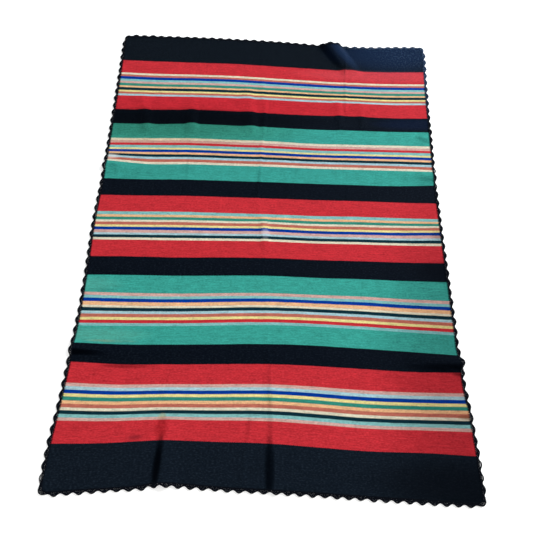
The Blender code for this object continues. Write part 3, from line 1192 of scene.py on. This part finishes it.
@dataclass
class Edging:
    """The round of crochet: a row of stitches over the cloth's edge, and worked loops on it."""

    border: Border
    yarn_radius: float = 0.00092
    sides: int = 5
    loop_points: int = 60
    stitch_points: int = 11
    wrap_points: int = 9
    leg_points: int = 6
    stitch_step: float = 0.0047
    stitch_length: float = 0.0080
    stitch_width: float = 0.0024
    wrap_step: float = 0.0029
    wrap_width: float = 0.0020
    wrap_over: float = 0.0013
    wrap_rise: float = 0.7
    base_rise: float = 0.3
    open_angle: float = 0.3
    bite: float = 0.0034
    base_depth: float = 0.0024
    leg_leans: tuple[float, float] = (0.0012, -0.0014)
    leg_sink: float = 0.0012
    unevenness: float = 0.0009
    stray_along: float = 0.0003
    stray_aside: float = 0.0002
    cloth_thickness: float = 0.0020
    finish: CrochetYarn = field(default_factory=CrochetYarn)

    def valleys(self) -> list[np.ndarray]:
        """For each run, the distances round the edge at which two loops meet.

        Returns:
            The distances, an array for each run.
        """
        own, corners = [], self.border.corners
        for run, low, high in zip(RUNS, corners, corners[1:]):
            own.append(low + (high - low) * (np.arange(run.loops) + 0.5) / run.loops)
        before = [own[-1] - self.border.round, *own[:-1]]
        after = [*own[1:], own[0] + self.border.round]
        return [
            np.concatenate([prior[-1:], mine, later[:1]]) if run.takes_corners else mine
            for run, prior, mine, later in zip(RUNS, before, own, after)
        ]

    def stitch(
        self,
        gone: np.ndarray,
        depth: np.ndarray,
        size: tuple[Union[float, np.ndarray], float],
        rise: float,
        turned: bool = False,
    ) -> Paths:
        """Drop-shaped stitches along a line beside the edge.

        Args:
            gone: Where each stitch lies round the edge.
            depth: How far outside the edge each lies.
            size: Their length, or a column of lengths, and their width, between the middles of
                their strands.
            rise: How far the line lies over the floor, in yarn radii.
            turned: Whether the stitches stand square to the line, as those worked over it do.

        Returns:
            A path for each stitch.
        """
        count = self.wrap_points if turned else self.stitch_points
        turn = np.linspace(-math.pi + self.open_angle, math.pi - self.open_angle, count)
        forward = size[0] / 2 * np.cos(turn)
        aside = size[1] / 2 * np.sin(turn) * (1.1 + 0.25 * np.cos(turn))
        height = self.yarn_radius * rise + self.yarn_radius * (1.85 + 0.8 * np.cos(turn))
        run = np.stack([np.gradient(gone), np.gradient(depth)], axis=1)
        run = run / np.linalg.norm(run, axis=1, keepdims=True)
        if turned:
            run = np.stack([-run[:, 1], run[:, 0]], axis=1)
        return Paths(
            gone[:, None] + run[:, :1] * forward - run[:, 1:] * aside,
            depth[:, None] + run[:, 1:] * forward + run[:, :1] * aside,
            np.broadcast_to(height, (len(gone), len(turn))),
        )

    def legs(self, gone: np.ndarray, lean: float) -> Paths:
        """The strands that hold each stitch to the cloth, over its edge.

        Args:
            gone: Where each stitch lies round the edge.
            lean: How far its outer end lies ahead of the place where it enters the cloth.

        Returns:
            A path for each strand.
        """
        share = np.linspace(0, 1, self.leg_points)
        depth = -self.bite + (self.base_depth + self.bite) * share
        over = self.cloth_thickness + self.yarn_radius * 0.5
        heights = (over - self.leg_sink, over, over, self.yarn_radius * 1.4)
        height = np.interp(share, (0, 0.2, 0.6, 1), heights)
        many = (len(gone), len(share))
        level = (np.broadcast_to(part, many) for part in (depth, height))
        return Paths(gone[:, None] + lean * share, *level)

    def tube(self, paths: np.ndarray) -> tuple[np.ndarray, np.ndarray, np.ndarray, np.ndarray]:
        """Yarn round each path.

        Args:
            paths: The paths' points, as paths, points and x, y, z.

        Returns:
            The points, the quads, the end caps, and what the points hold for the material.
        """
        many, long = paths.shape[:2]
        ahead = np.gradient(paths, axis=1)
        ahead /= np.linalg.norm(ahead, axis=2, keepdims=True)
        side = np.cross(ahead, (0.0, 0.0, 1.0))
        side /= np.linalg.norm(side, axis=2, keepdims=True)
        up = np.cross(side, ahead)
        angle = np.arange(self.sides) * 2 * math.pi / self.sides
        wave, lift = np.cos(angle)[:, None], np.sin(angle)[:, None]
        off = side[:, :, None] * wave + up[:, :, None] * lift
        skin = paths[:, :, None] + self.yarn_radius * off
        number = np.arange(many * long * self.sides).reshape(many, long, self.sides)
        after = np.roll(number, -1, axis=2)
        quads = np.stack([number[:, :-1], after[:, :-1], after[:, 1:], number[:, 1:]], axis=3)
        caps = np.concatenate([number[:, 0, ::-1], number[:, -1]])
        steps = np.linalg.norm(np.diff(paths, axis=1), axis=2)
        gone = np.pad(np.cumsum(steps, axis=1), ((0, 0), (1, 0)))[..., None]
        parts = (gone, np.sin(angle), np.cos(angle))
        held = np.stack([np.broadcast_to(part, number.shape) for part in parts], axis=3)
        return skin.reshape(-1, 3), quads.reshape(-1, 4), caps, held.reshape(-1, 3)

    def loops(self, run: Run, valleys: np.ndarray, rng: np.random.Generator) -> list[Paths]:
        """The chain loops of one run and the stitches worked over them.

        Args:
            run: The run.
            valleys: Where its loops meet.
            rng: What their small irregularities come from.

        Returns:
            The chains' paths, then the worked stitches'.
        """
        half_width = self.stitch_width / 2 + self.yarn_radius
        low, high = run.valley - half_width, run.peak - half_width
        chains, wraps = [], []
        share = np.linspace(0, 1, self.loop_points)
        size = (self.stitch_length, self.stitch_width)
        for number, (start, end) in enumerate(zip(valleys, valleys[1:])):
            sway = rng.normal(0, self.unevenness)
            peak = high + rng.normal(0, self.unevenness * 0.6)
            bulge = (0.5 - 0.5 * np.cos(2 * math.pi * share)) ** run.sharpness
            gone = start + (end - start) * share + sway * bulge
            depth = low + (peak - low) * bulge
            length = np.concatenate([[0], np.cumsum(np.hypot(np.diff(gone), np.diff(depth)))])
            count = round(length[-1] / self.stitch_step)
            stops = (np.arange(count) + 0.5) / count * length[-1]
            at, outer = (np.interp(stops, length, line) for line in (gone, depth))
            chains.append(self.stitch(at, outer, size, 0.0))
            if number in run.open_loops:
                continue
            stops = np.arange(self.wrap_step, length[-1] - self.wrap_step, self.wrap_step)
            at = np.interp(stops, length, gone)
            outer = np.interp(stops, length, depth) + self.wrap_over
            inner = self.base_depth + half_width + run.slit * rng.uniform(0.2, 1.8)
            room = outer - inner > 0.5 * self.wrap_width
            at, outer = at[room], outer[room]
            if len(at) > 1:
                reach = ((outer - inner)[:, None], self.wrap_width)
                wraps.append(self.stitch(at, (outer + inner) / 2, reach, self.wrap_rise, True))
        return [Paths(*map(np.concatenate, zip(*group))) for group in (chains, wraps)]

    def build(self, run: Run, valleys: np.ndarray, seed: int) -> bpy.types.Object:
        """Makes one run of the edging.

        Args:
            run: The run.
            valleys: Where its loops meet.
            seed: What its small irregularities grow from.

        Returns:
            The run's object.
        """
        rng = np.random.default_rng(seed)
        count = round((valleys[-1] - valleys[0]) / self.stitch_step)
        stitches = valleys[0] + (np.arange(count) + 0.5) * (valleys[-1] - valleys[0]) / count
        stitches = stitches + rng.normal(0, self.stray_along, count)
        size = (self.stitch_length, self.stitch_width)
        depth = self.base_depth + rng.normal(0, self.stray_aside, count)
        groups = (
            *self.loops(run, valleys, rng),
            self.stitch(stitches, depth, size, self.base_rise),
            *(self.legs(stitches, lean) for lean in self.leg_leans),
        )
        made = [self.tube(self.border.at(*paths)) for paths in groups]
        offsets = np.cumsum([0, *(len(part[0]) for part in made)])
        points, held = (np.concatenate([part[k] for part in made]) for k in (0, 3))
        placed = list(zip(made, offsets))
        quads, caps = (np.concatenate([part[k] + first for part, first in placed]) for k in (1, 2))
        name = run.node.replace("edging", "crochet")
        return mesh_piece(name, points, [quads, caps], ("yarn", held))

    def dress(self, piece: bpy.types.Object, run: Run, material: bpy.types.Material) -> None:
        """Gives a run its finish and its place in the frame.

        Args:
            piece: The run's object.
            run: The run.
            material: The yarn.
        """
        piece.data.materials.append(material)
        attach(piece, "root")
        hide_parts(run.node)


# The studio


class Lamp(NamedTuple):
    """One square soft light, which faces the cloth's middle, and its power in watts."""

    name: str
    place: tuple[float, float, float]
    size: float
    power: float
    colour: tuple[float, float, float]


# Cool window light from the far right, a soft fill, and a little light that grazes the far end
LAMPS = (
    Lamp("window", (6.2, 4.4, 3.8), 3.2, 815.0, (0.95, 0.98, 1.0)),
    Lamp("fill", (-3.2, -4.6, 3.6), 4.0, 150.0, (1.0, 0.99, 0.97)),
    Lamp("far window", (1.4, 3.3, 2.7), 1.6, 42.0, (0.70, 0.86, 1.0)),
)


@dataclass
class Studio:
    """The floor, the light and the camera."""

    floor_size: float = 16.0
    floor_drop: float = 0.0002
    room_colour: Colour = (0.97, 0.985, 1.0, 1.0)
    room_light: float = 0.475
    camera_place: tuple[float, float, float] = (-0.04395, -0.80554, 1.6329)
    camera_down: float = 67.495
    camera_turn: float = -3.204
    camera_roll: float = 4.660
    focal_share: float = 540 / 533
    sensor: float = 36.0
    finish: PaleFloor = field(default_factory=PaleFloor)

    def floor(self) -> bpy.types.Object:
        """Lays the floor.

        Returns:
            The floor's object.
        """
        signs = np.array([(-1, -1, 0), (1, -1, 0), (1, 1, 0), (-1, 1, 0)], float)
        corners = signs * self.floor_size / 2 - (0, 0, self.floor_drop)
        made = mesh_piece("floor", corners, [np.array([(0, 1, 2, 3)])])
        made.data.materials.append(self.finish.make())
        return made

    def hang(self, lamp: Lamp) -> None:
        """Hangs one light.

        Args:
            lamp: The light.
        """
        data = bpy.data.lights.new(lamp.name, "AREA")
        data.size = lamp.size
        data.energy = lamp.power
        data.color = lamp.colour
        made = bpy.data.objects.new(lamp.name, data)
        made.location = lamp.place
        made.rotation_mode = "QUATERNION"
        made.rotation_quaternion = (-Vector(lamp.place)).to_track_quat("-Z", "Y")
        bpy.context.scene.collection.objects.link(made)

    def light(self) -> None:
        """Sets the room's even light, and hangs the lamps."""
        world = bpy.data.worlds.new("studio")
        world.use_nodes = True
        sky = world.node_tree.nodes["Background"]
        sky.inputs["Color"].default_value = self.room_colour
        sky.inputs["Strength"].default_value = self.room_light
        bpy.context.scene.world = world
        for lamp in LAMPS:
            self.hang(lamp)
        bpy.context.scene.view_settings.view_transform = "Standard"

    def camera(self) -> None:
        """Sets the camera at the photograph's viewing angle."""
        data = bpy.data.cameras.new("camera")
        data.sensor_width = self.sensor
        data.lens = self.sensor * self.focal_share
        made = bpy.data.objects.new("camera", data)
        turn = Matrix.Rotation(math.radians(self.camera_turn), 4, "Z")
        tilt = Matrix.Rotation(math.radians(90 - self.camera_down), 4, "X")
        roll = Matrix.Rotation(math.radians(self.camera_roll), 4, "Z")
        made.matrix_world = Matrix.Translation(self.camera_place) @ turn @ tilt @ roll
        bpy.context.scene.collection.objects.link(made)
        bpy.context.scene.camera = made


def main() -> None:
    """Builds the serape and its studio, and reports each piece."""
    studio = Studio()
    studio.camera()
    studio.light()
    floor = studio.floor()

    panel = WovenPanel()
    grid, cloth = panel.grid()
    striped = panel.build(grid, cloth)
    panel.dress(striped)
    log.info("%s: %d faces", striped.name, len(striped.data.polygons))

    edging = Edging(Border.of(grid))
    yarn = edging.finish.make()
    for seed, (run, valleys) in enumerate(zip(RUNS, edging.valleys())):
        piece = edging.build(run, valleys, seed)
        edging.dress(piece, run, yarn)
        log.info("%s: %d faces", piece.name, len(piece.data.polygons))


if __name__ == "__main__":
    logging.basicConfig(level=logging.INFO, format="%(name)s: %(message)s")
    main()
